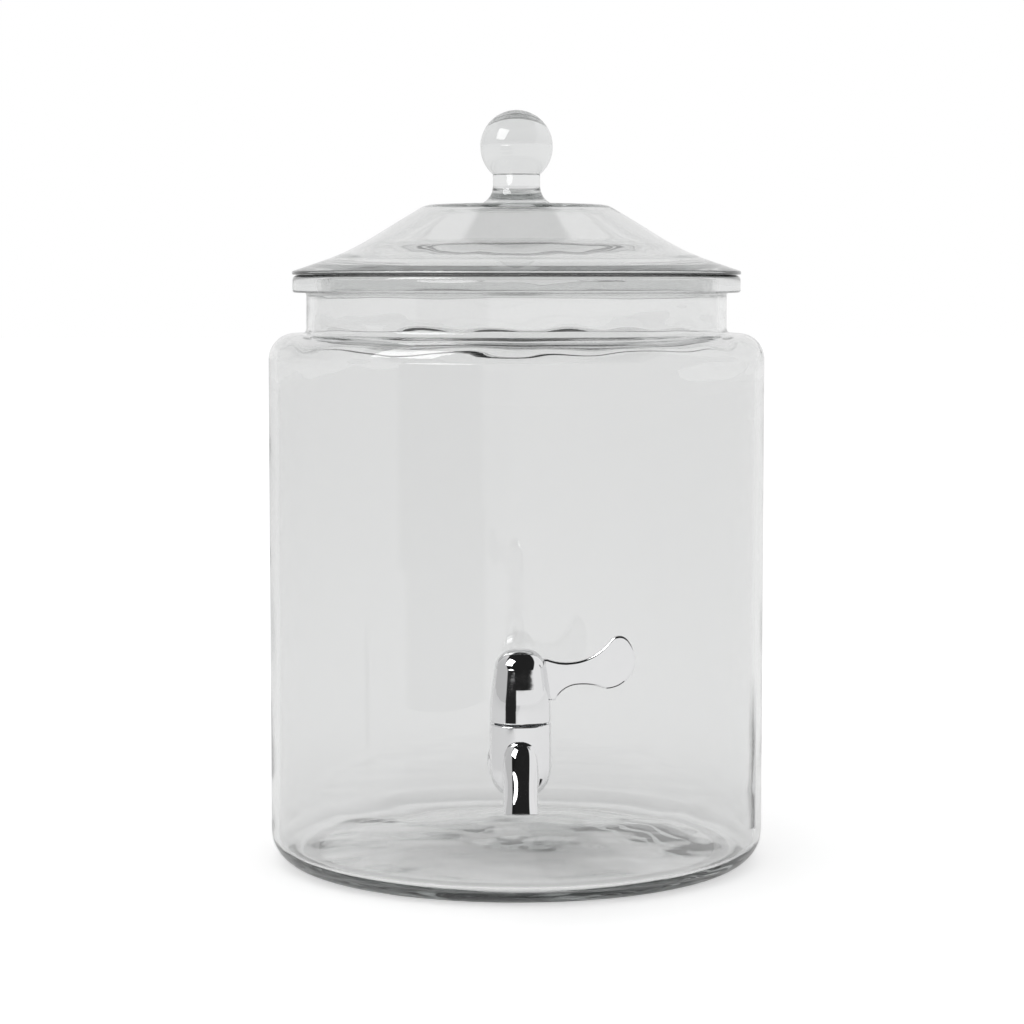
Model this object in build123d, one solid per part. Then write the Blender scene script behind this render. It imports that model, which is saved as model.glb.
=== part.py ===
from build123d import *
import os
from math import atan2, cos, degrees, hypot, radians, sin, sqrt, tan

# Glass drink dispenser: a straight jar, a loose lid with a ball knob and a quarter-turn tap.
# The origin is the middle of the jar's foot, on the table. +Z is up and the tap faces -Y.
# Lengths are in millimetres and angles in degrees.

# Jar
jar_diameter = 236.0
jar_height = 280.1
jar_wall = 4.0
jar_base_thickness = 7.0
jar_push_up = 3.0
jar_foot_width = 8.0
jar_heel_radius = 15.0
jar_inner_heel_radius = 7.0
neck_height = 27.6
shoulder_radius = 12.0
neck_step = 18.0
neck_fillet = 2.5
lip_overhang = 6.5
lip_height = 8.3
lip_round = 1.2
lip_shoulder_round = 2.5

# A corner's round may take up this share of the shorter side next to it
round_share = 0.6

# Lid
lid_overhang = 0.2
lid_height = 33.2
lid_wall = 4.5
lid_crown_diameter = 87.0
lid_crown_round = 10.0
lid_sweep_share = 0.42
lid_sweep_rise = 10.9
lid_sweep_radius = 110.0
lid_rim_thickness = 1.8
lid_rim_round = 0.7
lid_ring_depth = 9.0
lid_ring_wall = 4.0
lid_ring_clearance = 2.5
lid_ring_round = 1.2
knob_diameter = 34.5
knob_height = 44.8
knob_neck_diameter = 22.5
knob_neck_flare = 9.0

# Tap stem and what clamps it to the glass
tap_height = 67.4
stem_diameter = 15.0
stem_bore = 8.0
stem_clearance = 0.75
stem_past_nut = 4.5
flange_diameter = 28.6
flange_thickness = 3.0
flange_round = 1.2
washer_inset = 0.8
washer_thickness = 3.0
washer_clearance = 0.25
clamp_washer_inset = 1.5
clamp_washer_thickness = 1.0
nut_width = 23.0
nut_thickness = 8.0
nut_chamfer = 1.0
thread_clearance = 0.05

# Valve housing and nozzle
valve_standoff = 28.0
housing_diameter = 26.7
housing_rise = 20.7
housing_floor = 4.5
housing_round = 14.0
housing_fullness = 0.6
housing_neck_diameter = 19.0
nozzle_reach = 16.0
nozzle_drop = 16.5
nozzle_tilt = 13.0
nozzle_length = 31.0
nozzle_tip_diameter = 15.2
nozzle_waist_diameter = 12.8
nozzle_waist_rise = 14.0
nozzle_nose_diameter = 22.0
nozzle_bore = 7.5
nozzle_blend = 2.0

# Valve plug, its seals and the ring that holds it down
plug_diameter = 14.0
plug_clearance = 0.05
plug_end_play = 0.2
port_diameter = 7.0
port_land = 0.6
plug_lip = 1.2
groove_width = 2.0
groove_depth = 1.35
o_ring_height = 1.8
o_ring_clearance = 0.03
bonnet_diameter = 19.0
bonnet_thickness = 4.0
bonnet_recess = 0.5
bonnet_slot_width = 2.0
bonnet_slot_depth = 1.5
journal_diameter = 9.0
journal_clearance = 0.2
drive_width = 6.0
drive_length = 9.0
drive_clearance = 0.05

# Handle cap and lever
cap_gap = 0.8
cap_height = 31.0
cap_wall = 2.0
cap_crown_inset = 3.3
cap_crown_round = 9.0
cap_side_inset = 0.3
cap_side_height = 9.5
cap_side_round = 100.0
parting_round = 0.6
hub_diameter = 12.0
hub_gap = 0.8
hub_bite = 0.5
lever_reach = 36.5
lever_rise = 26.7
lever_head_radius = 12.9
lever_root_drop = 17.7
lever_thickness = 3.6
lever_edge_round = 0.9
lever_tip_round = 5.0
lever_heel_round = 2.0
lever_root_round = 0.5
upper_waist_radius = 23.3
upper_waist_x = 19.8
upper_waist_z = 48.55
lower_waist_radius = 28.0
lower_waist_x = 27.0
lower_waist_z = -12.3
root_sweep_radius = 11.5
root_sweep_x = 24.5

# Quarter-turn stop: a lug under the cap runs in an arc groove in the top of the housing
turn_angle = 90.0
stop_width_share = 0.46
stop_depth = 1.8
stop_clearance = 0.2
stop_lug_angle = 20.0
stop_end_play = 1.5

# Radii and heights that follow from the jar
jar_radius = jar_diameter / 2
inner_radius = jar_radius - jar_wall
neck_radius = jar_radius - neck_step
mouth_radius = neck_radius - jar_wall
shoulder_height = jar_height - neck_height
lip_radius = neck_radius + lip_overhang
foot_radius = jar_radius - jar_heel_radius - jar_foot_width
floor_radius = inner_radius - jar_inner_heel_radius - jar_foot_width

# Places along the tap, which all sit on the glass
flange_y = -(jar_radius + washer_thickness)
valve_y = -(jar_radius + valve_standoff)
nozzle_y = valve_y - nozzle_reach
clamp_y = -(inner_radius - washer_thickness)
nut_y = clamp_y + clamp_washer_thickness
stem_end_y = nut_y + nut_thickness + stem_past_nut

# Heights in the valve
seal_offset = port_diameter / 2 + port_land + groove_width / 2
plug_bottom = tap_height - seal_offset - groove_width / 2 - plug_lip
chamber_floor = plug_bottom - plug_end_play
chamber_radius = plug_diameter / 2 + plug_clearance
housing_bottom = chamber_floor - housing_floor
housing_top = tap_height + housing_rise
bonnet_top = housing_top - bonnet_recess
bonnet_bottom = bonnet_top - bonnet_thickness
plug_top = bonnet_bottom - plug_end_play
cap_bottom = housing_top + cap_gap
cap_top = cap_bottom + cap_height
hub_bottom = bonnet_top + hub_gap

# The stop's groove lies in the land between the bonnet ring and the housing's side
cap_radius = housing_diameter / 2
stop_land = cap_radius - bonnet_diameter / 2
stop_middle = cap_radius - stop_land / 2
stop_width = stop_land * stop_width_share


def lathe(outline):
    """Turn a closed (radius, height) outline about the Z axis."""
    return revolve(Plane.XZ * make_face(outline.edges()), Axis.Z)


def upright(radius, bottom, top):
    """A round bar along Z."""
    return Pos(0, 0, bottom) * Cylinder(radius, top - bottom, align=(Align.CENTER, Align.CENTER, Align.MIN))


def rod(radius, start, end):
    """A round bar along Y, on the axis of the tap's stem."""
    return Pos(0, 0, tap_height) * Rot(-90, 0, 0) * upright(radius, start, end)


def round_limit(before, corner, after):
    """The largest radius that the two sides of a corner leave room for."""
    in_x, in_z = corner[0] - before[0], corner[1] - before[1]
    out_x, out_z = after[0] - corner[0], after[1] - corner[1]
    turn = abs(atan2(in_x * out_z - in_z * out_x, in_x * out_x + in_z * out_z))
    return round_share * min(hypot(in_x, in_z), hypot(out_x, out_z)) / tan(turn / 2)


def glass_jar():
    floor = jar_base_thickness
    shoulder_under = shoulder_height - jar_wall
    lip_under = jar_height - lip_height
    wall = FilletPolyline(
        (foot_radius, 0),
        (jar_radius, 0),
        (jar_radius, shoulder_height),
        (neck_radius, shoulder_height),
        (neck_radius, lip_under),
        (lip_radius, lip_under),
        (lip_radius, jar_height),
        (mouth_radius, jar_height),
        (mouth_radius, shoulder_under),
        (inner_radius, shoulder_under),
        (inner_radius, floor),
        (floor_radius, floor),
        radius=[
            jar_heel_radius,
            shoulder_radius,
            neck_fillet,
            lip_round,
            lip_round,
            lip_shoulder_round,
            lip_round,
            neck_fillet + jar_wall,
            shoulder_radius - jar_wall,
            jar_inner_heel_radius,
        ],
    )
    inside_dome = TangentArc((0, floor + jar_push_up), (floor_radius, floor), tangent=(1, 0))
    underside = TangentArc((0, jar_push_up), (foot_radius, 0), tangent=(1, 0))
    middle = Line((0, jar_push_up), (0, floor + jar_push_up))
    jar = lathe(wall + inside_dome + underside + middle)
    return jar - rod(stem_diameter / 2 + stem_clearance, -jar_radius, -neck_radius)


def inner_corner(corner, slope_before, slope_after):
    """The corner of the lid's inside, one wall under an outside corner between two slopes."""
    middle = (slope_before + slope_after) / 2
    depth = lid_wall / cos((slope_after - slope_before) / 2)
    return corner[0] - depth * sin(middle), corner[1] - depth * cos(middle)


def glass_lid():
    seat = jar_height
    rim_radius = lip_radius + lid_overhang
    ring_radius = mouth_radius - lid_ring_clearance
    ring_bore = ring_radius - lid_ring_wall
    crown_radius = lid_crown_diameter / 2
    crown = (crown_radius, seat + lid_height)
    sweep = (rim_radius - lid_sweep_share * (rim_radius - crown_radius), seat + lid_sweep_rise)
    rim = (rim_radius, seat + lid_rim_thickness)
    steep = atan2(crown[1] - sweep[1], sweep[0] - crown[0])
    gentle = atan2(sweep[1] - rim[1], rim[0] - sweep[0])
    inner_crown = inner_corner(crown, 0, steep)
    inner_sweep = inner_corner(sweep, steep, gentle)
    inner_ring = (ring_bore, inner_sweep[1] - (ring_bore - inner_sweep[0]) * tan(gentle))
    outer_sweep_radius = min(lid_sweep_radius, round_limit(crown, sweep, rim))
    inner_sweep_radius = min(lid_sweep_radius + lid_wall, round_limit(inner_ring, inner_sweep, inner_crown))

    knob_radius = knob_diameter / 2
    knob_neck_radius = knob_neck_diameter / 2
    knob_z = crown[1] + knob_height - knob_radius
    junction_drop = sqrt(knob_radius**2 - knob_neck_radius**2)
    junction_angle = degrees(atan2(junction_drop, knob_neck_radius))
    ball = CenterArc((0, knob_z), knob_radius, 90, -(90 + junction_angle))
    shell = FilletPolyline(
        (knob_neck_radius, knob_z - junction_drop),
        (knob_neck_radius, crown[1]),
        crown,
        sweep,
        rim,
        (rim_radius, seat),
        (ring_radius, seat),
        (ring_radius, seat - lid_ring_depth),
        (ring_bore, seat - lid_ring_depth),
        inner_ring,
        inner_sweep,
        inner_crown,
        (0, inner_crown[1]),
        radius=[
            knob_neck_flare,
            lid_crown_round,
            outer_sweep_radius,
            lid_rim_round,
            lid_rim_round,
            lid_ring_round,
            lid_ring_round,
            lid_ring_round,
            lid_ring_wall,
            inner_sweep_radius,
            lid_crown_round - lid_wall,
        ],
    )
    middle = Line((0, inner_crown[1]), (0, knob_z + knob_radius))
    return lathe(ball + shell + middle)


def stop_ring(width, height, z, start, angle):
    """A block swept along the stop's arc about the valve's axis."""
    block = Pos(stop_middle, z) * Rectangle(width, height)
    return Pos(0, valve_y, 0) * Rot(0, 0, start) * revolve(Plane.XZ * block, Axis.Z, angle)


def valve_housing():
    """The upright bowl of the valve, with a full round end."""
    radius = housing_diameter / 2
    round_start = housing_bottom + housing_round
    end = Bezier(
        (0, housing_bottom),
        (housing_fullness * radius, housing_bottom),
        (radius, round_start - housing_fullness * housing_round),
        (radius, round_start),
    )
    side = FilletPolyline(
        (radius, round_start), (radius, housing_top), (0, housing_top), radius=[parting_round]
    )
    middle = Line((0, housing_top), (0, housing_bottom))
    return Pos(0, valve_y, 0) * lathe(end + side + middle)


def along_nozzle(shape):
    """Stand a shape on the nozzle's tip, leaning back towards the valve."""
    return Pos(0, nozzle_y, tap_height - nozzle_drop) * Rot(-nozzle_tilt, 0, 0) * shape


def nozzle_outside():
    """A barrel, a little waisted above its tip, that closes in a bullet nose inside the housing."""
    tip_radius = nozzle_tip_diameter / 2
    side = Bezier(
        (tip_radius, 0),
        (nozzle_waist_diameter / 2, nozzle_waist_rise),
        (nozzle_nose_diameter / 2, nozzle_length),
        (0, nozzle_length),
    )
    tip = Line((0, 0), (tip_radius, 0))
    middle = Line((0, nozzle_length), (0, 0))
    return along_nozzle(lathe(tip + side + middle))


def spigot_body():
    housing = valve_housing()
    nozzle = nozzle_outside()
    valve = housing + nozzle
    valve = fillet(new_edges(housing, nozzle, combined=valve), nozzle_blend)

    flange = rod(flange_diameter / 2, flange_y - flange_thickness, flange_y)
    flange = fillet(flange.edges().group_by(Axis.Y)[0], flange_round)
    body = valve + flange
    body += rod(housing_neck_diameter / 2, valve_y, flange_y)
    body += rod(stem_diameter / 2, flange_y, stem_end_y)

    body -= Pos(0, valve_y, 0) * upright(chamber_radius, chamber_floor, housing_top)
    body -= Pos(0, valve_y, 0) * upright(bonnet_diameter / 2 + thread_clearance, bonnet_bottom, housing_top)
    body -= rod(stem_bore / 2, valve_y, stem_end_y)
    lean = radians(nozzle_tilt)
    body -= rod(port_diameter / 2, nozzle_y + nozzle_drop * tan(lean), valve_y)
    body -= along_nozzle(upright(nozzle_bore / 2, 0, nozzle_drop / cos(lean) + port_diameter / 2))
    groove_angle = turn_angle + stop_lug_angle + 2 * stop_end_play
    groove = stop_ring(
        stop_width, 2 * stop_depth, housing_top, (180 - groove_angle) / 2, groove_angle
    )
    return body - groove


def valve_plug():
    body = upright(plug_diameter / 2, plug_bottom, plug_top)
    body += upright(journal_diameter / 2, plug_top, hub_bottom)
    body += Pos(0, 0, hub_bottom) * extrude(Rectangle(drive_width, drive_width), drive_length)
    for seal_z in (tap_height - seal_offset, tap_height + seal_offset):
        ring = upright(plug_diameter / 2, seal_z - groove_width / 2, seal_z + groove_width / 2)
        ring -= upright(plug_diameter / 2 - groove_depth, seal_z - groove_width, seal_z + groove_width)
        body -= ring
    port = Pos(0, 0, tap_height) * Rot(0, 90, 0) * Cylinder(port_diameter / 2, 2 * plug_diameter)
    return Pos(0, valve_y, 0) * (body - port)


def o_ring(seal_z):
    inside = plug_diameter / 2 - groove_depth + o_ring_clearance
    outside = chamber_radius - o_ring_clearance
    section = Pos((inside + outside) / 2, seal_z) * Ellipse((outside - inside) / 2, o_ring_height / 2)
    return Pos(0, valve_y, 0) * revolve(Plane.XZ * section, Axis.Z)


def bonnet_ring():
    ring = upright(bonnet_diameter / 2, bonnet_bottom, bonnet_top)
    ring -= upright(journal_diameter / 2 + journal_clearance, bonnet_bottom, bonnet_top)
    slot = Box(bonnet_diameter, bonnet_slot_width, 2 * bonnet_slot_depth)
    return Pos(0, valve_y, 0) * (ring - Pos(0, 0, bonnet_top) * slot)


def lever_root():
    """The web under the arm's root, which runs smoothly into the lower waist."""
    touch_x = root_sweep_x - lower_waist_x
    touch_z = sqrt(lower_waist_radius**2 - touch_x**2)
    inward = 1 - root_sweep_radius / lower_waist_radius
    bottom = lever_rise - lever_root_drop
    web_height = lower_waist_z + touch_z - bottom
    web = Pos(0, bottom) * Rectangle(root_sweep_x, web_height, align=(Align.MIN, Align.MIN))
    sweep = Circle(root_sweep_radius)
    return web - Pos(lower_waist_x + inward * touch_x, lower_waist_z + inward * touch_z) * sweep


def lever_blade():
    """The paddle: a round head on an arm that two large circles cut to a waist."""
    head = Pos(lever_reach, lever_rise) * Circle(lever_head_radius)
    arm_align = (Align.MIN, Align.MAX)
    arm = Pos(0, lever_rise) * Rectangle(lever_reach, lever_root_drop, align=arm_align)
    outline = head + arm
    outline -= Pos(upper_waist_x, upper_waist_z) * Circle(upper_waist_radius)
    outline -= Pos(lower_waist_x, lower_waist_z) * Circle(lower_waist_radius)
    outline += lever_root()
    corners = [v for v in outline.vertices() if v.X > lever_reach - lever_head_radius / 2]
    corners.sort(key=lambda v: v.Y)
    outline = fillet(corners[-1], lever_tip_round)
    corners = [v for v in outline.vertices() if v.X > lever_reach - lever_head_radius / 2]
    corners.sort(key=lambda v: v.Y)
    outline = fillet(corners[0], lever_heel_round)
    blade = extrude(Plane.XZ * outline, lever_thickness / 2, both=True)
    rims = blade.edges().group_by(Axis.Y)
    return fillet(rims[0] + rims[-1], lever_edge_round)


def cap_side(wall):
    """The corners of the cap's side, set in by a wall, and the round of the middle one."""
    crown = (cap_radius - cap_crown_inset - wall, cap_height - wall)
    side = (cap_radius - cap_side_inset - wall, cap_side_height)
    edge = (cap_radius - wall, 0)
    return crown, side, edge, min(cap_side_round, round_limit(crown, side, edge))


def handle_cap():
    crown, side, edge, side_radius = cap_side(0)
    outside = FilletPolyline(
        (0, cap_height), crown, side, edge, (0, 0), radius=[cap_crown_round, side_radius, parting_round]
    )
    middle = Line((0, 0), (0, cap_height))
    dome = lathe(outside + middle)
    blade = lever_blade()
    cap = dome + blade
    cap = fillet(new_edges(dome, blade, combined=cap), lever_root_round)
    ceiling = cap_height - cap_wall
    crown, side, edge, side_radius = cap_side(cap_wall)
    inside_radii = [cap_crown_round - cap_wall, side_radius]
    inside = FilletPolyline((0, ceiling), crown, side, edge, radius=inside_radii)
    inside_floor = Line(edge, (0, 0))
    inside_middle = Line((0, 0), (0, ceiling))
    cap -= lathe(inside + inside_floor + inside_middle)
    cap = Pos(0, valve_y, cap_bottom) * cap

    hub = upright(hub_diameter / 2, hub_bottom, cap_top - cap_wall + hub_bite)
    socket = Rectangle(drive_width + 2 * drive_clearance, drive_width + 2 * drive_clearance)
    hub -= Pos(0, 0, hub_bottom) * extrude(socket, drive_length + plug_end_play)
    cap += Pos(0, valve_y, 0) * hub
    lug_start = (180 + turn_angle - stop_lug_angle) / 2
    lug_height = stop_depth - stop_clearance + 2 * cap_gap
    lug_middle = cap_bottom + cap_gap - lug_height / 2
    lug_width = stop_width - 2 * stop_clearance
    return cap + stop_ring(lug_width, lug_height, lug_middle, lug_start, stop_lug_angle)


def outer_washer():
    washer_radius = flange_diameter / 2 - washer_inset
    washer = rod(washer_radius, flange_y, -neck_radius)
    washer -= rod(stem_diameter / 2 + washer_clearance, flange_y, -neck_radius)
    return washer - upright(jar_radius, 0, shoulder_height)


def inner_washer():
    washer_radius = flange_diameter / 2 - washer_inset
    washer = rod(washer_radius, -jar_radius, clamp_y)
    washer -= rod(stem_diameter / 2 + washer_clearance, -jar_radius, clamp_y)
    return washer & upright(inner_radius, 0, shoulder_height)


def clamp_washer():
    washer = rod(flange_diameter / 2 - clamp_washer_inset, clamp_y, nut_y)
    return washer - rod(stem_diameter / 2 + washer_clearance, clamp_y, nut_y)


def lock_nut():
    face = Plane(origin=(0, nut_y, tap_height), x_dir=(1, 0, 0), z_dir=(0, 1, 0))
    nut = extrude(face * RegularPolygon(nut_width / 2, 6, major_radius=False), nut_thickness)
    corner_radius = nut_width / sqrt(3)
    turned = rod(corner_radius, nut_y, nut_y + nut_thickness)
    nut &= chamfer(turned.edges().filter_by(GeomType.CIRCLE), nut_chamfer)
    return nut - rod(stem_diameter / 2 + thread_clearance, nut_y, nut_y + nut_thickness)


pieces = {
    "glass_jar": glass_jar(),
    "glass_lid": glass_lid(),
    "spigot_body": spigot_body(),
    "handle_cap": handle_cap(),
    "valve_plug": valve_plug(),
    "upper_o_ring": o_ring(tap_height + seal_offset),
    "lower_o_ring": o_ring(tap_height - seal_offset),
    "bonnet_ring": bonnet_ring(),
    "outer_washer": outer_washer(),
    "inner_washer": inner_washer(),
    "clamp_washer": clamp_washer(),
    "lock_nut": lock_nut(),
}

os.makedirs("parts", exist_ok=True)
for name, piece in pieces.items():
    export_step(piece, f"parts/{name}.step")
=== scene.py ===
import math
from functools import reduce

import bmesh
import bpy
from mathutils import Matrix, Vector, noise


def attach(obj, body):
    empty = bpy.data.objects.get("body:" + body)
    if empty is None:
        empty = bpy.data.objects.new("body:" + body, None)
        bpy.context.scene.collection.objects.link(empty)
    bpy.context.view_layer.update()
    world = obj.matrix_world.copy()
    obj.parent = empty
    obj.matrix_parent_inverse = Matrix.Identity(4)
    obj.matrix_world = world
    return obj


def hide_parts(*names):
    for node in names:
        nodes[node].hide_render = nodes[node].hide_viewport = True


# A glass drink dispenser with a loose glass lid and a chrome tap, on a pale floor.
# The object's sizes are in millimetres and are scaled to metres as its shapes are made.
# The studio and the camera are in metres and degrees.
MM = 0.001

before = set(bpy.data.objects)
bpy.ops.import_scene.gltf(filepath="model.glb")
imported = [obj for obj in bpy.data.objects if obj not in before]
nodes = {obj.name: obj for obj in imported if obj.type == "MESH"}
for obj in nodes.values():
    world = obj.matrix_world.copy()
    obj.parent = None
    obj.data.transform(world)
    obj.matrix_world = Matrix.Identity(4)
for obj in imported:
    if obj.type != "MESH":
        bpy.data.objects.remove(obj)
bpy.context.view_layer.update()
scene = bpy.context.scene

# Jar
JAR_RADIUS = 118.0
JAR_HEIGHT = 280.1
JAR_WALL = 4.0
JAR_FLOOR = 7.0
PUSH_UP = 3.0
FOOT_RADIUS = 95.0
HEEL = 15.0
INNER_HEEL = 7.0
FLOOR_RADIUS = 99.0
SHOULDER_Z = 252.5
SHOULDER = 12.0
NECK_RADIUS = 100.0
NECK_FILLET = 2.5
LIP_RADIUS = 106.5
LIP_HEIGHT = 8.3
LIP_ROUND = 1.2
LIP_SHOULDER_ROUND = 2.5

# Lid
RIM_RADIUS = 106.7
RIM_THICKNESS = 1.8
RIM_ROUND = 0.7
LID_WALL = 4.5
CROWN_RADIUS = 43.5
CROWN_Z = 313.3
CROWN_ROUND = 10.0
SWEEP_SHARE = 0.42
SWEEP_RISE = 10.9
SWEEP_RADIUS = 110.0
INNER_SWEEP_RADIUS = 65.8
RING_RADIUS = 93.5
RING_BORE = 89.5
RING_DEPTH = 9.0
RING_ROUND = 1.2
KNOB_RADIUS = 17.25
KNOB_HEIGHT = 44.8
KNOB_NECK = 11.25
KNOB_FLARE = 9.0
LID_AIR = 0.08

# Tap hole, and the stem's thread: half its root as a share of the pitch, half its crest, how deep
# its root sinks into the stem, and over how many steps its two ends fade
TAP_Z = 67.4
HOLE_RADIUS = 8.25
DRILL_LENGTH = 40.0
STEM_RADIUS = 7.5
NUT_END_Y = -102.0
STEM_END_Y = -97.5
THREAD_PITCH = 1.5
THREAD_DEPTH = 0.45
THREAD_ROOT_SHARE = 0.42
THREAD_CREST = 0.2
THREAD_SINK = 0.05
THREAD_FADE_IN = 12
THREAD_FADE_OUT = 24

# Waves in the glass: how far its inner surface wanders, with the run and the rise of one wave
WALL_WAVE = 0.12
WALL_WAVE_SIZE = (60.0, 45.0)
LID_WAVE = 0.1
LID_WAVE_SIZE = (30.0, 20.0)
LID_WAVE_START = 3.0
LID_INSIDE_SHARE = 0.45

# Below BASE_TOP the waves grow from the heel to the base
BASE_TOP = 40.0
HEEL_WAVE = 0.15
BASE_WAVE = 0.95
BASE_WAVE_SIZE = (44.0, 24.0)
BASE_WAVE_RADIUS = 106.0
BASE_WAVE_FADE = 14.0

# Above UPPER_START they grow a little, and most of all under the shoulder
UPPER_START = 215.0
UPPER_WAVE = 0.1
UPPER_WAVE_FADE = 25.0
UPPER_WAVE_SIZE = (60.0, 14.0)
SHOULDER_WAVE = 0.9
SHOULDER_WAVE_Z = 247.0
SHOULDER_WAVE_FADE = 14.0

# A finer wave on top of each: its share of the height, and how much shorter it is
FINE_WAVES = 0.4
FINE_RUN = 2.6

# How finely the shapes are divided, and the angle past which an edge stays sharp
AROUND = 256
STRAIGHT_STEP = 3.0
ARC_LEAST = 6
ARC_MOST = 24
ARC_PER_RADIAN = 4.0
ARC_RADIUS_PER_STEP = 1.5
DOME_STEPS = 28
BALL_STEPS = 36
HOLE_SEGMENTS = 64
THREAD_STEPS_PER_TURN = 48
ON_AXIS = 1e-6
SHARP_ANGLE = 40.0
THREAD_SHARP_ANGLE = 25.0

# Glass: its surface colour, and what a long way through it takes up
GLASS_COLOUR = (0.888, 0.89, 0.889)
GLASS_IOR = 1.5
GLASS_DEPTH_COLOUR = (0.1, 0.14, 0.13)
GLASS_DEPTH_DENSITY = 6.0

# Painted shade in the groove where lid and lip meet: its grey, how far it reaches above and below,
# and the distance from the jar's axis at which it starts and is full
PAINTED_SEAT_SHADE = (0.04, 0.04, 0.04)
SEAT_NEAR = 0.7
SEAT_FAR = 1.3
SEAT_START = 102.5
SEAT_FULL = 104.0

# Finishes: the range that noise mostly keeps to, and the height of the grain in metres
NOISE_LOW = 0.3
NOISE_HIGH = 0.7
GRAIN = 0.00002
TURNING_MARKS = 0.00003

# Floor: its own colour, and its glow as seen openly, in chrome, and through the glass, where a
# painted bright ring lies round a painted shadow in the middle. The distances run out from the jar's
# axis.
FLOOR_HALF = 12
FLOOR_COLOUR = (0.8, 0.8, 0.8)
FLOOR_GLOW = 0.45
FLOOR_GLOW_IN_CHROME = 0.16
FLOOR_GLOW_MIDDLE = 0.08
FLOOR_GLOW_RING = 0.7
FLOOR_GLOW_THROUGH = 0.3
FLOOR_MIDDLE_END = 0.105
FLOOR_RING_EDGE = (0.110, 0.122)
FLOOR_LEFT_EDGE = (-0.4, -0.1)

# Studio: its light on matt surfaces, its level in chrome, and its dark part as seen in chrome and
# through the glass
WORLD_FILL = 0.8
STUDIO_IN_CHROME = 0.85
STUDIO_LEFT = 0.62
STUDIO_DARK = 0.02
STUDIO_DARK_THROUGH = 0.5

# Where the studio is dark: above a horizon and a slope that falls towards the camera. Each pair
# is where a soft border starts and ends.
STUDIO_SIDE_SLOPE = 0.5
STUDIO_BACK_SLOPE = 0.66
STUDIO_RISE_SLOPE = 0.55
STUDIO_SLOPE_EDGE = (-0.03, 0.03)
STUDIO_HORIZON = (0.105, 0.115)
STUDIO_LEFT_EDGE = (-0.85, -0.3)
STUDIO_OVERHEAD = (0.15, 0.25)

# A bounce count above this is one or more
ANY_BOUNCE = 0.5

# Lamps aim at the jar's middle. Cards are placed round the tap's front.
LAMP_AIM = (0, -0.05, 0.16)
TAP_FRONT = -0.15
CARD_SOFT = 0.1
CARD_Z = 0.001

# Camera
IMAGE_PX = 1024
FOCAL_PX = 2805.0
SENSOR_MM = 36.0
CLIP_START = 0.05
CLIP_END = 60
CAMERA_AT = (-0.0156, -1.341, 0.2778)
CAMERA_DOWN = 4.73
CAMERA_TURN = -0.575

# Light is followed through this many surfaces, since the glass has many
BOUNCES = 40


def add_object(name, data):
    obj = bpy.data.objects.new(name, data)
    scene.collection.objects.link(obj)
    return obj


def smooth(obj, angle=SHARP_ANGLE):
    """Smooth shading, kept sharp across real edges."""
    for polygon in obj.data.polygons:
        polygon.use_smooth = True
    obj.data.set_sharp_from_angle(angle=math.radians(angle))


def arc_steps(radius, angle):
    """How many pieces an arc gets, so that large and small rounds are equally smooth."""
    per_radian = ARC_PER_RADIAN + radius / ARC_RADIUS_PER_STEP
    return max(ARC_LEAST, min(ARC_MOST, round(abs(angle) * per_radian)))


def rounded(points, radii):
    """An outline through corner points, each inner corner rounded to its radius."""
    outline = [Vector(points[0])]
    for before, corner, after, radius in zip(points, points[1:], points[2:], radii):
        corner = Vector(corner)
        to_before = (Vector(before) - corner).normalized()
        to_after = (Vector(after) - corner).normalized()
        half = to_before.angle(to_after) / 2
        reach = radius / math.tan(half)
        centre = corner + (to_before + to_after).normalized() * (radius / math.sin(half))
        start = corner + to_before * reach - centre
        end = corner + to_after * reach - centre
        turn = math.atan2(start.x * end.y - start.y * end.x, start.dot(end))
        steps = arc_steps(radius, turn)
        for k in range(steps + 1):
            a = turn * k / steps
            c, s = math.cos(a), math.sin(a)
            outline.append(centre + Vector((c * start.x - s * start.y, s * start.x + c * start.y)))
    outline.append(Vector(points[-1]))
    return outline


def divided(outline):
    """The same outline with its long straight runs cut into short ones."""
    made = [outline[0]]
    for a, b in zip(outline, outline[1:]):
        parts = max(1, math.ceil((b - a).length / STRAIGHT_STEP))
        made += [a.lerp(b, k / parts) for k in range(1, parts + 1)]
    return made


def dome(rise, base, radius):
    """A shallow dome from its middle, rise above base, out to radius."""
    sphere = (radius**2 + rise**2) / (2 * rise)
    points = []
    for k in range(DOME_STEPS + 1):
        r = radius * k / DOME_STEPS
        points.append(Vector((r, base + rise - sphere + math.sqrt(sphere**2 - r**2))))
    return points


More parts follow.
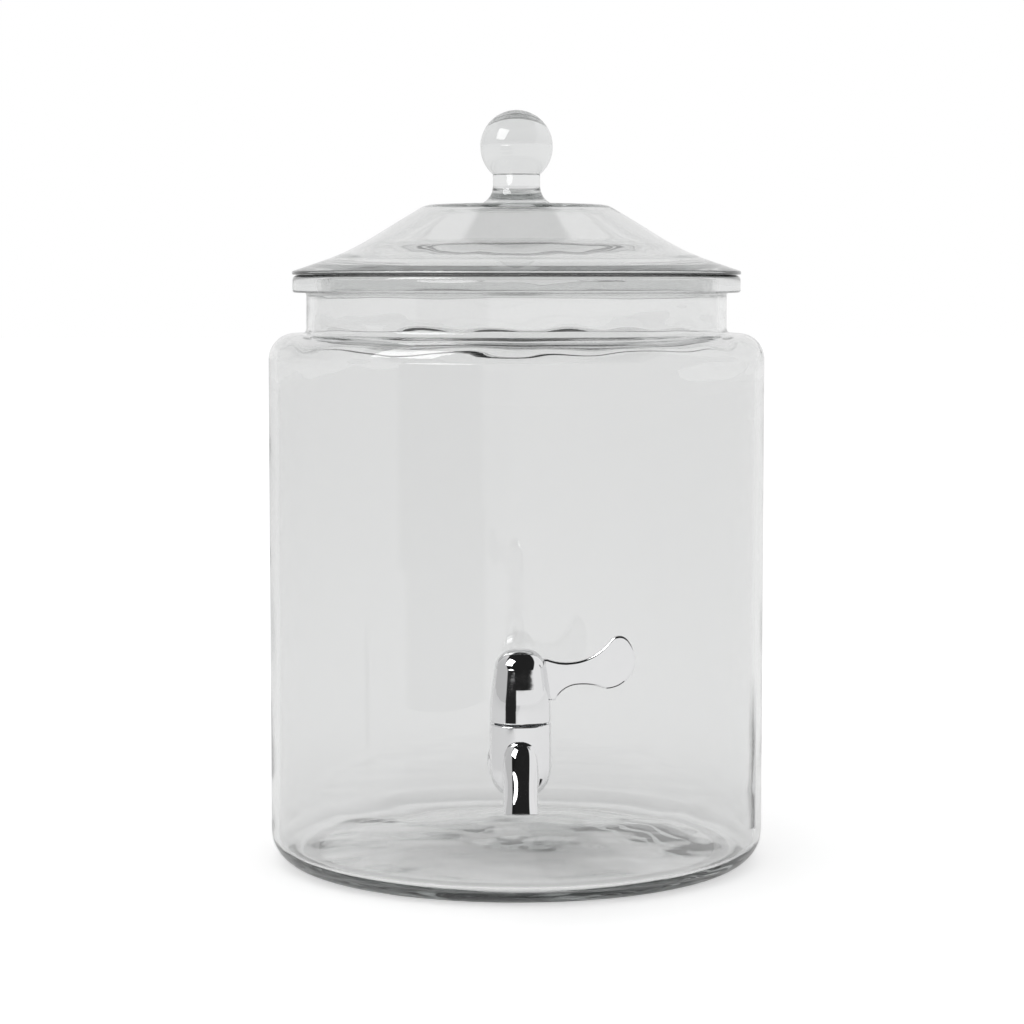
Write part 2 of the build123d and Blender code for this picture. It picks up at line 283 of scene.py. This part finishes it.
def lathe(name, outline, waviness):
    """A turned solid. waviness(index, r, z) gives how far the surface may wander there."""
    verts, rings = [], []
    last = len(outline) - 1
    for i, p in enumerate(outline):
        if p.x < ON_AXIS:
            rings.append([len(verts)])
            verts.append((0, 0, p.y * MM))
            continue
        along = outline[min(i + 1, last)] - outline[max(i - 1, 0)]
        out = Vector((along.y, -along.x)).normalized()
        amount, run, rise = waviness(i, p.x, p.y)
        ring = []
        for k in range(AROUND):
            a = 2 * math.pi * k / AROUND
            c, s = math.cos(a), math.sin(a)
            r, z = p.x, p.y
            if amount:
                at = Vector((r * c / run, r * s / run, z / rise))
                shift = amount * (noise.noise(at) + FINE_WAVES * noise.noise(at * FINE_RUN))
                r, z = r + out.x * shift, z + out.y * shift
            ring.append(len(verts))
            verts.append((r * c * MM, r * s * MM, z * MM))
        rings.append(ring)
    faces = []
    for low, high in zip(rings, rings[1:]):
        for k in range(AROUND):
            n = (k + 1) % AROUND
            if len(low) == 1:
                faces.append((low[0], high[n], high[k]))
            elif len(high) == 1:
                faces.append((low[k], low[n], high[0]))
            else:
                faces.append((low[k], low[n], high[n], high[k]))
    mesh = bpy.data.meshes.new(name)
    mesh.from_pydata(verts, [], faces)
    mesh.update()
    obj = add_object(name, mesh)
    smooth(obj)
    return obj


def jar_outline():
    """The jar's section: its underside from the middle, up outside, down inside, and its base."""
    under = SHOULDER_Z - JAR_WALL
    inner = JAR_RADIUS - JAR_WALL
    mouth = NECK_RADIUS - JAR_WALL
    lip_under = JAR_HEIGHT - LIP_HEIGHT
    wall = rounded(
        [
            (FOOT_RADIUS, 0),
            (JAR_RADIUS, 0),
            (JAR_RADIUS, SHOULDER_Z),
            (NECK_RADIUS, SHOULDER_Z),
            (NECK_RADIUS, lip_under),
            (LIP_RADIUS, lip_under),
            (LIP_RADIUS, JAR_HEIGHT),
            (mouth, JAR_HEIGHT),
            (mouth, under),
            (inner, under),
            (inner, JAR_FLOOR),
            (FLOOR_RADIUS, JAR_FLOOR),
        ],
        [
            HEEL,
            SHOULDER,
            NECK_FILLET,
            LIP_ROUND,
            LIP_ROUND,
            LIP_SHOULDER_ROUND,
            LIP_ROUND,
            NECK_FILLET + JAR_WALL,
            SHOULDER - JAR_WALL,
            INNER_HEEL,
        ],
    )
    underside = dome(PUSH_UP, 0, FOOT_RADIUS)
    inside = dome(PUSH_UP, JAR_FLOOR, FLOOR_RADIUS)
    return underside[:-1] + divided(wall) + inside[::-1][1:]


def jar_waviness(outline):
    """Blown glass is true outside; inside, its shoulder and base wander most."""
    top = max(range(len(outline)), key=lambda i: outline[i].y)

    def wander(i, r, z):
        if i < top:
            return 0.0, *WALL_WAVE_SIZE
        if z < BASE_TOP:
            inward = max(0, min(1, (BASE_WAVE_RADIUS - r) / BASE_WAVE_FADE))
            return HEEL_WAVE + BASE_WAVE * inward, *BASE_WAVE_SIZE
        if z > UPPER_START:
            upward = min(1, (z - UPPER_START) / UPPER_WAVE_FADE)
            shoulder = max(0, 1 - abs(z - SHOULDER_WAVE_Z) / SHOULDER_WAVE_FADE)
            return WALL_WAVE + UPPER_WAVE * upward + SHOULDER_WAVE * shoulder, *UPPER_WAVE_SIZE
        return WALL_WAVE, *WALL_WAVE_SIZE

    return wander


def lid_outline():
    """The lid's section, from the middle of its underside out to the rim and up to the knob."""
    seat = JAR_HEIGHT + LID_AIR
    crown = Vector((CROWN_RADIUS, CROWN_Z))
    sweep = Vector((RIM_RADIUS - SWEEP_SHARE * (RIM_RADIUS - CROWN_RADIUS), JAR_HEIGHT + SWEEP_RISE))
    rim = Vector((RIM_RADIUS, JAR_HEIGHT + RIM_THICKNESS))
    steep = math.atan2(crown.y - sweep.y, sweep.x - crown.x)
    gentle = math.atan2(sweep.y - rim.y, rim.x - sweep.x)

    def under(corner, before, after):
        """The inner corner below an outer one, a wall's thickness from both slopes."""
        middle = (before + after) / 2
        depth = LID_WALL / math.cos((after - before) / 2)
        return Vector((corner.x - depth * math.sin(middle), corner.y - depth * math.cos(middle)))

    inner_crown = under(crown, 0, steep)
    inner_sweep = under(sweep, steep, gentle)
    inner_rise = inner_sweep.y - (RING_BORE - inner_sweep.x) * math.tan(gentle)
    knob_z = CROWN_Z + KNOB_HEIGHT - KNOB_RADIUS
    drop = math.sqrt(KNOB_RADIUS**2 - KNOB_NECK**2)
    last = math.atan2(-drop, KNOB_NECK)
    ball = []
    for k in range(BALL_STEPS + 1):
        a = math.pi / 2 + (last - math.pi / 2) * k / BALL_STEPS
        ball.append(Vector((KNOB_RADIUS * math.cos(a), knob_z + KNOB_RADIUS * math.sin(a))))
    ball[0].x = 0
    shell = rounded(
        [
            (KNOB_NECK, knob_z - drop),
            (KNOB_NECK, CROWN_Z),
            crown,
            sweep,
            rim,
            (RIM_RADIUS, seat),
            (RING_RADIUS, seat),
            (RING_RADIUS, seat - RING_DEPTH),
            (RING_BORE, seat - RING_DEPTH),
            (RING_BORE, inner_rise),
            inner_sweep,
            inner_crown,
            (0, inner_crown.y),
        ],
        [
            KNOB_FLARE,
            CROWN_ROUND,
            SWEEP_RADIUS,
            RIM_ROUND,
            RIM_ROUND,
            RING_ROUND,
            RING_ROUND,
            RING_ROUND,
            RING_RADIUS - RING_BORE,
            INNER_SWEEP_RADIUS,
            CROWN_ROUND - LID_WALL,
        ],
    )
    return (ball[:-1] + divided(shell))[::-1]


def lid_waviness(outline):
    """Pressed glass wanders a little, on its inside only."""
    inside_end = len(outline) * LID_INSIDE_SHARE

    def wander(i, r, z):
        inside = i < inside_end and r > LID_WAVE_START
        return (LID_WAVE if inside else 0.0), *LID_WAVE_SIZE

    return wander


def cut_hole(obj):
    """Drill the jar's wall for the tap's stem.

    The drill is turned by half a segment, so that none of its corners meets a line of the wall.
    """
    drill = bpy.data.meshes.new("drill")
    bm = bmesh.new()
    radius = HOLE_RADIUS * MM
    bmesh.ops.create_cone(
        bm,
        cap_ends=True,
        segments=HOLE_SEGMENTS,
        radius1=radius,
        radius2=radius,
        depth=DRILL_LENGTH * MM,
    )
    bm.to_mesh(drill)
    bm.free()
    tool = add_object("drill", drill)
    tool.rotation_euler = (math.pi / 2, math.pi / HOLE_SEGMENTS, 0)
    tool.location = (0, -(JAR_RADIUS - JAR_WALL / 2) * MM, TAP_Z * MM)
    cut = obj.modifiers.new("hole", "BOOLEAN")
    cut.operation = "DIFFERENCE"
    cut.solver = "EXACT"
    cut.object = tool
    bpy.context.view_layer.update()
    made = bpy.data.meshes.new_from_object(obj.evaluated_get(bpy.context.evaluated_depsgraph_get()))
    obj.modifiers.clear()
    obj.data = made
    bpy.data.objects.remove(tool)
    smooth(obj)


def stem_thread():
    """The thread that stands past the lock nut, with its ends faded into the stem."""
    length = STEM_END_Y - NUT_END_Y
    turns = length / THREAD_PITCH
    steps = round(turns * THREAD_STEPS_PER_TURN)
    half = THREAD_PITCH * THREAD_ROOT_SHARE
    bm = bmesh.new()
    rows = []
    for k in range(steps + 1):
        a = 2 * math.pi * turns * k / steps
        crest = THREAD_DEPTH * min(1, k / THREAD_FADE_IN, (steps - k) / THREAD_FADE_OUT)
        y = NUT_END_Y + half + (length - 2 * half) * k / steps
        profile = (
            (-half, -THREAD_SINK),
            (-THREAD_CREST, crest),
            (THREAD_CREST, crest),
            (half, -THREAD_SINK),
        )
        row = []
        for shift, lift in profile:
            r = STEM_RADIUS + lift
            x, z = r * math.cos(a), TAP_Z + r * math.sin(a)
            row.append(bm.verts.new((x * MM, (y + shift) * MM, z * MM)))
        rows.append(row)
    for low, high in zip(rows, rows[1:]):
        for j in range(len(low)):
            n = (j + 1) % len(low)
            bm.faces.new((low[j], low[n], high[n], high[j]))
    bm.faces.new(rows[0][::-1])
    bm.faces.new(rows[-1])
    bmesh.ops.recalc_face_normals(bm, faces=bm.faces)
    mesh = bpy.data.meshes.new("stem_thread")
    bm.to_mesh(mesh)
    bm.free()
    obj = add_object("stem_thread", mesh)
    smooth(obj, THREAD_SHARP_ANGLE)
    return obj


def feed(tree, node, inputs):
    """Set a node's inputs to plain values, or link them to other nodes."""
    for socket, value in inputs.items():
        if isinstance(value, bpy.types.NodeSocket):
            tree.links.new(value, node.inputs[socket])
        else:
            node.inputs[socket].default_value = value


def add_node(tree, kind, inputs=None, **settings):
    node = tree.nodes.new(kind)
    for key, value in settings.items():
        setattr(node, key, value)
    feed(tree, node, inputs or {})
    return node


def calc(tree, operation, *values):
    """Arithmetic on one or two numbers or sockets."""
    return add_node(tree, "ShaderNodeMath", dict(enumerate(values)), operation=operation).outputs[0]


def times(tree, *values):
    return reduce(lambda a, b: calc(tree, "MULTIPLY", a, b), values)


def largest(tree, *values):
    return reduce(lambda a, b: calc(tree, "MAXIMUM", a, b), values)


def ramp(tree, source, start, end, low=0.0, high=1.0):
    """A soft step from low to high as source goes from start to end."""
    inputs = {"Value": source, "From Min": start, "From Max": end, "To Min": low, "To Max": high}
    return add_node(tree, "ShaderNodeMapRange", inputs, interpolation_type="SMOOTHSTEP").outputs["Result"]


def position(tree, kind):
    """Where a point lies, as one vector and as its three parts."""
    where = add_node(tree, "ShaderNodeTexCoord").outputs[kind]
    return where, add_node(tree, "ShaderNodeSeparateXYZ", {0: where}).outputs


def from_axis(tree, where):
    """How far a point lies from the jar's axis."""
    flat = add_node(tree, "ShaderNodeVectorMath", {0: where, 1: (1, 1, 0)}, operation="MULTIPLY")
    length = add_node(tree, "ShaderNodeVectorMath", {0: flat.outputs["Vector"]}, operation="LENGTH")
    return length.outputs["Value"]


def cloud(tree, scale, detail, roughness=0.5, stretch=None):
    """Noise in the object's own space, optionally stretched."""
    where = add_node(tree, "ShaderNodeTexCoord").outputs["Object"]
    if stretch:
        where = add_node(tree, "ShaderNodeMapping", {"Scale": stretch, "Vector": where}).outputs["Vector"]
    inputs = {"Scale": scale, "Detail": detail, "Roughness": roughness, "Vector": where}
    return add_node(tree, "ShaderNodeTexNoise", inputs).outputs["Fac"]


def spread(tree, source, low, high):
    """Stretch the range that noise mostly keeps to between two numbers."""
    inputs = {
        "Value": source,
        "From Min": NOISE_LOW,
        "From Max": NOISE_HIGH,
        "To Min": low,
        "To Max": high,
    }
    return add_node(tree, "ShaderNodeMapRange", inputs).outputs["Result"]


def tint(tree, source, first, second):
    """Go from one colour to another as a value goes from 0 to 1."""
    node = add_node(tree, "ShaderNodeMix", {"Factor": source}, data_type="RGBA")
    colours = [s for s in node.inputs if s.type == "RGBA"]
    colours[0].default_value = (*first, 1)
    colours[1].default_value = (*second, 1)
    return [s for s in node.outputs if s.type == "RGBA"][0]


def bump(tree, source, distance):
    inputs = {"Distance": distance, "Strength": 1.0, "Height": source}
    return add_node(tree, "ShaderNodeBump", inputs).outputs["Normal"]


def new_material(name):
    """A material, its nodes and its shader."""
    material = bpy.data.materials.new(name)
    material.use_nodes = True
    tree = material.node_tree
    return material, tree, tree.nodes["Principled BSDF"]


def glass_material():
    """Clear glass, faintly green in its depth, with painted shade where lid and lip meet."""
    material, tree, shader = new_material("clear_glass")
    where, parts = position(tree, "Object")
    # Painted shade: a thin dark grey band round the outer edge where lid and lip meet
    rise = calc(tree, "ABSOLUTE", calc(tree, "SUBTRACT", parts["Z"], JAR_HEIGHT * MM))
    at_seat = ramp(tree, rise, SEAT_FAR * MM, SEAT_NEAR * MM)
    at_edge = ramp(tree, from_axis(tree, where), SEAT_START * MM, SEAT_FULL * MM)
    surface = {
        "Base Color": tint(tree, times(tree, at_edge, at_seat), GLASS_COLOUR, PAINTED_SEAT_SHADE),
        "Roughness": 0.0,
        "IOR": GLASS_IOR,
        "Transmission Weight": 1.0,
    }
    feed(tree, shader, surface)
    inputs = {"Color": (*GLASS_DEPTH_COLOUR, 1), "Density": GLASS_DEPTH_DENSITY}
    depth = add_node(tree, "ShaderNodeVolumeAbsorption", inputs)
    feed(tree, tree.nodes["Material Output"], {"Volume": depth.outputs["Volume"]})
    return material


def cloudy_material(name, colours, roughness, haze, grain, metallic=0.0):
    """A finish whose colour and gloss vary a little, with a fine grain.

    haze and grain each give a noise's scale and detail.
    """
    material, tree, shader = new_material(name)
    clouds = cloud(tree, *haze)
    surface = {
        "Metallic": metallic,
        "Base Color": tint(tree, clouds, *colours),
        "Roughness": spread(tree, clouds, *roughness),
        "Normal": bump(tree, cloud(tree, *grain), GRAIN),
    }
    feed(tree, shader, surface)
    return material


def steel_material():
    """Turned steel: fine lines in its colour, gloss and surface."""
    material, tree, shader = new_material("turned_steel")
    lines = cloud(tree, scale=60, detail=5, roughness=0.6, stretch=(1, 40, 1))
    surface = {
        "Metallic": 1.0,
        "Base Color": tint(tree, lines, (0.5, 0.5, 0.51), (0.68, 0.68, 0.69)),
        "Roughness": spread(tree, lines, 0.2, 0.36),
        "Normal": bump(tree, lines, TURNING_MARKS),
    }
    feed(tree, shader, surface)
    return material


glass = glass_material()
chrome = cloudy_material(
    "chrome_plate",
    colours=((0.84, 0.845, 0.85), (0.88, 0.88, 0.885)),
    roughness=(0.025, 0.06),
    haze=(240, 4),
    grain=(110, 2),
    metallic=1.0,
)
silicone = cloudy_material(
    "silicone",
    colours=((0.78, 0.79, 0.79), (0.88, 0.89, 0.89)),
    roughness=(0.38, 0.5),
    haze=(300, 4),
    grain=(2500, 2),
)
steel = steel_material()
acetal = cloudy_material(
    "acetal",
    colours=((0.84, 0.84, 0.81), (0.9, 0.9, 0.88)),
    roughness=(0.3, 0.42),
    haze=(180, 3),
    grain=(1800, 3),
)
nitrile = cloudy_material(
    "nitrile",
    colours=((0.022, 0.022, 0.022), (0.045, 0.045, 0.045)),
    roughness=(0.5, 0.7),
    haze=(500, 4),
    grain=(3500, 2),
)

finishes = {
    "spigot_body": chrome,
    "handle_cap": chrome,
    "valve_plug": acetal,
    "bonnet_ring": acetal,
    "upper_o_ring": nitrile,
    "lower_o_ring": nitrile,
    "outer_washer": silicone,
    "inner_washer": silicone,
    "clamp_washer": steel,
    "lock_nut": steel,
}
for name, material in finishes.items():
    nodes[name].data.materials.clear()
    nodes[name].data.materials.append(material)

outline = jar_outline()
jar = lathe("jar_glass", outline, jar_waviness(outline))
cut_hole(jar)
jar.data.materials.append(glass)
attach(jar, "jar")
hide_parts("glass_jar")

outline = lid_outline()
lid = lathe("lid_glass", outline, lid_waviness(outline))
lid.data.materials.append(glass)
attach(lid, "lid")
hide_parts("glass_lid")

thread = stem_thread()
thread.data.materials.append(chrome)
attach(thread, "jar")


# Floor, studio and camera


def bare_tree(holder):
    """The nodes of a material or a world, emptied."""
    holder.use_nodes = True
    holder.node_tree.nodes.clear()
    return holder.node_tree


def light_path(tree):
    return add_node(tree, "ShaderNodeLightPath").outputs


def straight(tree, path):
    """1 for a ray that has not yet been scattered by a matt surface."""
    return calc(tree, "LESS_THAN", path["Diffuse Depth"], ANY_BOUNCE)


def bounced(tree, path):
    """1 for a ray that has been mirrored on its way, as along the edges of the glass."""
    return calc(tree, "GREATER_THAN", path["Glossy Depth"], ANY_BOUNCE)


def mirrored(tree, path):
    """1 for a ray that a shiny surface has just thrown back, and not let through."""
    return times(tree, path["Is Glossy Ray"], calc(tree, "SUBTRACT", 1.0, path["Is Transmission Ray"]))


def floor_material():
    """Matt, with a glow for rays that come straight from the camera, the glass or the chrome."""
    material = bpy.data.materials.new("floor_white")
    tree = bare_tree(material)
    path = light_path(tree)
    where, parts = position(tree, "Object")
    reach = from_axis(tree, where)
    clear = times(tree, path["Is Camera Ray"], FLOOR_GLOW)
    # Painted shadow under the jar's middle and painted light in a ring under its heel, seen only through
    # the glass
    middle = ramp(tree, reach, 0.0, FLOOR_MIDDLE_END, FLOOR_GLOW_MIDDLE - FLOOR_GLOW_RING, 0.0)
    ring = ramp(tree, reach, *FLOOR_RING_EDGE, FLOOR_GLOW_RING, FLOOR_GLOW_THROUGH)
    through = times(tree, path["Is Transmission Ray"], calc(tree, "ADD", middle, ring))
    from_left = ramp(tree, parts["X"], *FLOOR_LEFT_EDGE, 0.0, FLOOR_GLOW_IN_CHROME)
    shine = times(tree, path["Is Glossy Ray"], from_left)
    level = times(tree, largest(tree, clear, through, shine), straight(tree, path))
    matt = add_node(tree, "ShaderNodeBsdfDiffuse", {"Color": (*FLOOR_COLOUR, 1)})
    glow = add_node(tree, "ShaderNodeEmission", {"Strength": level})
    both = add_node(tree, "ShaderNodeAddShader", {0: matt.outputs[0], 1: glow.outputs[0]})
    add_node(tree, "ShaderNodeOutputMaterial", {"Surface": both.outputs[0]})
    return material


def studio_world():
    """White behind the object, with a dark room above and behind the camera."""
    world = bpy.data.worlds.new("studio")
    tree = bare_tree(world)
    path = light_path(tree)
    x, y, z = position(tree, "Generated")[1]
    aside = times(tree, calc(tree, "ABSOLUTE", x), STUDIO_SIDE_SLOPE)
    open_side = calc(tree, "ADD", aside, times(tree, y, STUDIO_BACK_SLOPE))
    above = calc(tree, "SUBTRACT", times(tree, z, STUDIO_RISE_SLOPE), open_side)
    dark = times(tree, ramp(tree, z, *STUDIO_HORIZON), ramp(tree, above, *STUDIO_SLOPE_EDGE))
    room = ramp(tree, dark, 0.0, 1.0, 1.0, STUDIO_DARK)
    left = ramp(tree, x, *STUDIO_LEFT_EDGE, STUDIO_LEFT, 1.0)
    shine = times(tree, path["Is Glossy Ray"], times(tree, room, left, STUDIO_IN_CHROME))
    soft_room = ramp(tree, dark, 0.0, 1.0, 1.0, STUDIO_DARK_THROUGH)
    overhead = times(tree, ramp(tree, z, *STUDIO_OVERHEAD), bounced(tree, path))
    edge_room = ramp(tree, overhead, 0.0, 1.0, 1.0, STUDIO_DARK)
    through = times(tree, path["Is Transmission Ray"], times(tree, soft_room, edge_room))
    seen = largest(tree, path["Is Camera Ray"], through, shine)
    kinds = (path["Is Camera Ray"], path["Is Transmission Ray"], path["Is Glossy Ray"])
    direct = times(tree, largest(tree, *kinds), straight(tree, path))
    fill = times(tree, calc(tree, "SUBTRACT", 1.0, direct), WORLD_FILL)
    level = calc(tree, "ADD", times(tree, seen, direct), fill)
    back = add_node(tree, "ShaderNodeBackground", {"Color": (1, 1, 1, 1), "Strength": level})
    add_node(tree, "ShaderNodeOutputWorld", {"Surface": back.outputs[0]})
    scene.world = world


def softbox(
    name,
    azimuth,
    elevation,
    distance,
    width,
    height,
    radiance,
    aim=LAMP_AIM,
    shape="RECTANGLE",
    matt=True,
    gloss=True,
):
    """An area lamp set by its direction from the object. Azimuth 0 is the front, and left is below 0.

    matt and gloss say which surfaces it lights.
    """
    a, e = math.radians(azimuth), math.radians(elevation)
    way = Vector((math.sin(a) * math.cos(e), -math.cos(a) * math.cos(e), math.sin(e)))
    lamp = bpy.data.lights.new(name, "AREA")
    lamp.shape = shape
    lamp.size, lamp.size_y = width, height
    lamp.energy = radiance * math.pi * width * height
    obj = add_object(name, lamp)
    obj.location = Vector(aim) + way * distance
    obj.rotation_euler = way.to_track_quat("Z", "Y").to_euler()
    obj.visible_camera = False
    obj.visible_transmission = False
    obj.visible_diffuse = matt
    obj.visible_glossy = gloss


def stage_quad(name, corners, material):
    mesh = bpy.data.meshes.new(name)
    mesh.from_pydata(corners, [], [(0, 1, 2, 3)])
    mesh.materials.append(material)
    obj = add_object(name, mesh)
    return obj


def level_corners(low, high, z):
    return [(low[0], low[1], z), (high[0], low[1], z), (high[0], high[1], z), (low[0], high[1], z)]


def card_material(name, level, across, soft):
    """A glow for mirrored rays, clear to all others, that fades out at the card's border."""
    material = bpy.data.materials.new(name)
    tree = bare_tree(material)
    path = light_path(tree)
    parts = position(tree, "Generated")[1]
    in_glass_edge = times(tree, path["Is Transmission Ray"], bounced(tree, path))
    seen = largest(tree, mirrored(tree, path), in_glass_edge)
    for axis in across:
        rise = ramp(tree, parts[axis], 0.0, soft)
        fall = ramp(tree, parts[axis], 1.0, 1.0 - soft)
        seen = times(tree, seen, rise, fall)
    clear = add_node(tree, "ShaderNodeBsdfTransparent")
    glow = add_node(tree, "ShaderNodeEmission", {"Strength": level})
    inputs = {"Fac": seen, 1: clear.outputs[0], 2: glow.outputs[0]}
    mixed = add_node(tree, "ShaderNodeMixShader", inputs)
    add_node(tree, "ShaderNodeOutputMaterial", {"Surface": mixed.outputs[0]})
    return material


def card(name, corners, level, across, soft=CARD_SOFT, through=False):
    """A flat card that only mirror-like surfaces see, or also the edges of the glass.

    across names the two axes it spreads along, and its border fades over a share of its size.
    """
    obj = stage_quad(name, corners, card_material(name, level, across, soft))
    obj.visible_camera = False
    obj.visible_diffuse = False
    obj.visible_transmission = through
    obj.visible_shadow = False


def standing_card(name, azimuths, distance, low, high, level, soft=CARD_SOFT, through=False):
    """A card on edge, seen from the tap between two azimuths. Left of the front is below 0."""
    feet = []
    for azimuth in azimuths:
        a = math.radians(azimuth)
        feet.append((distance * math.sin(a), TAP_FRONT - distance * math.cos(a)))
    (ax, ay), (bx, by) = feet
    corners = [(ax, ay, low), (bx, by, low), (bx, by, high), (ax, ay, high)]
    card(name, corners, level, ("X", "Z"), soft, through)


def lying_card(name, low, high, level):
    """A card just above the floor."""
    card(name, level_corners(low, high, CARD_Z), level, ("X", "Y"))


floor_corners = level_corners((-FLOOR_HALF, -FLOOR_HALF), (FLOOR_HALF, FLOOR_HALF), 0)
stage_quad("floor", floor_corners, floor_material())
studio_world()
softbox(
    "key_softbox",
    azimuth=-57,
    elevation=41,
    distance=1.4,
    width=0.75,
    height=0.75,
    radiance=7.0,
    matt=False,
)
softbox(
    "window_light",
    azimuth=-38,
    elevation=11.7,
    distance=1.7,
    width=1.0,
    height=0.12,
    radiance=4.0,
    aim=(0, -0.17, 0.06),
    shape="ELLIPSE",
    matt=False,
)
softbox(
    "fill_softbox",
    azimuth=-35,
    elevation=60,
    distance=1.8,
    width=1.2,
    height=1.2,
    radiance=0.8,
    gloss=False,
)
standing_card("near_flag", azimuths=(-60, -15), distance=0.6, low=-0.05, high=0.135, level=0.02)
standing_card("far_flag", azimuths=(-60, -15), distance=1.5, low=-0.1, high=0.3, level=0.02)
standing_card(
    "edge_flag",
    azimuths=(136.6, 141.6),
    distance=0.26,
    low=-0.05,
    high=0.085,
    level=0.2,
    soft=0.3,
    through=True,
)
# Painted shadow: a dark card on the floor in front of the tap, seen only in the chrome, stands in for the
# floor's shade there
lying_card("painted_floor_shadow", low=(0.016, -0.3), high=(0.13, -0.118), level=0.02)

camera = bpy.data.cameras.new("camera")
camera.sensor_width = SENSOR_MM
camera.lens = camera.sensor_width * FOCAL_PX / IMAGE_PX
camera.clip_start = CLIP_START
camera.clip_end = CLIP_END
eye = add_object("camera", camera)
eye.location = CAMERA_AT
eye.rotation_euler = (math.radians(90 - CAMERA_DOWN), 0, math.radians(CAMERA_TURN))
scene.camera = eye

scene.view_settings.view_transform = "Standard"
scene.cycles.max_bounces = BOUNCES
scene.cycles.transmission_bounces = BOUNCES
scene.cycles.glossy_bounces = BOUNCES
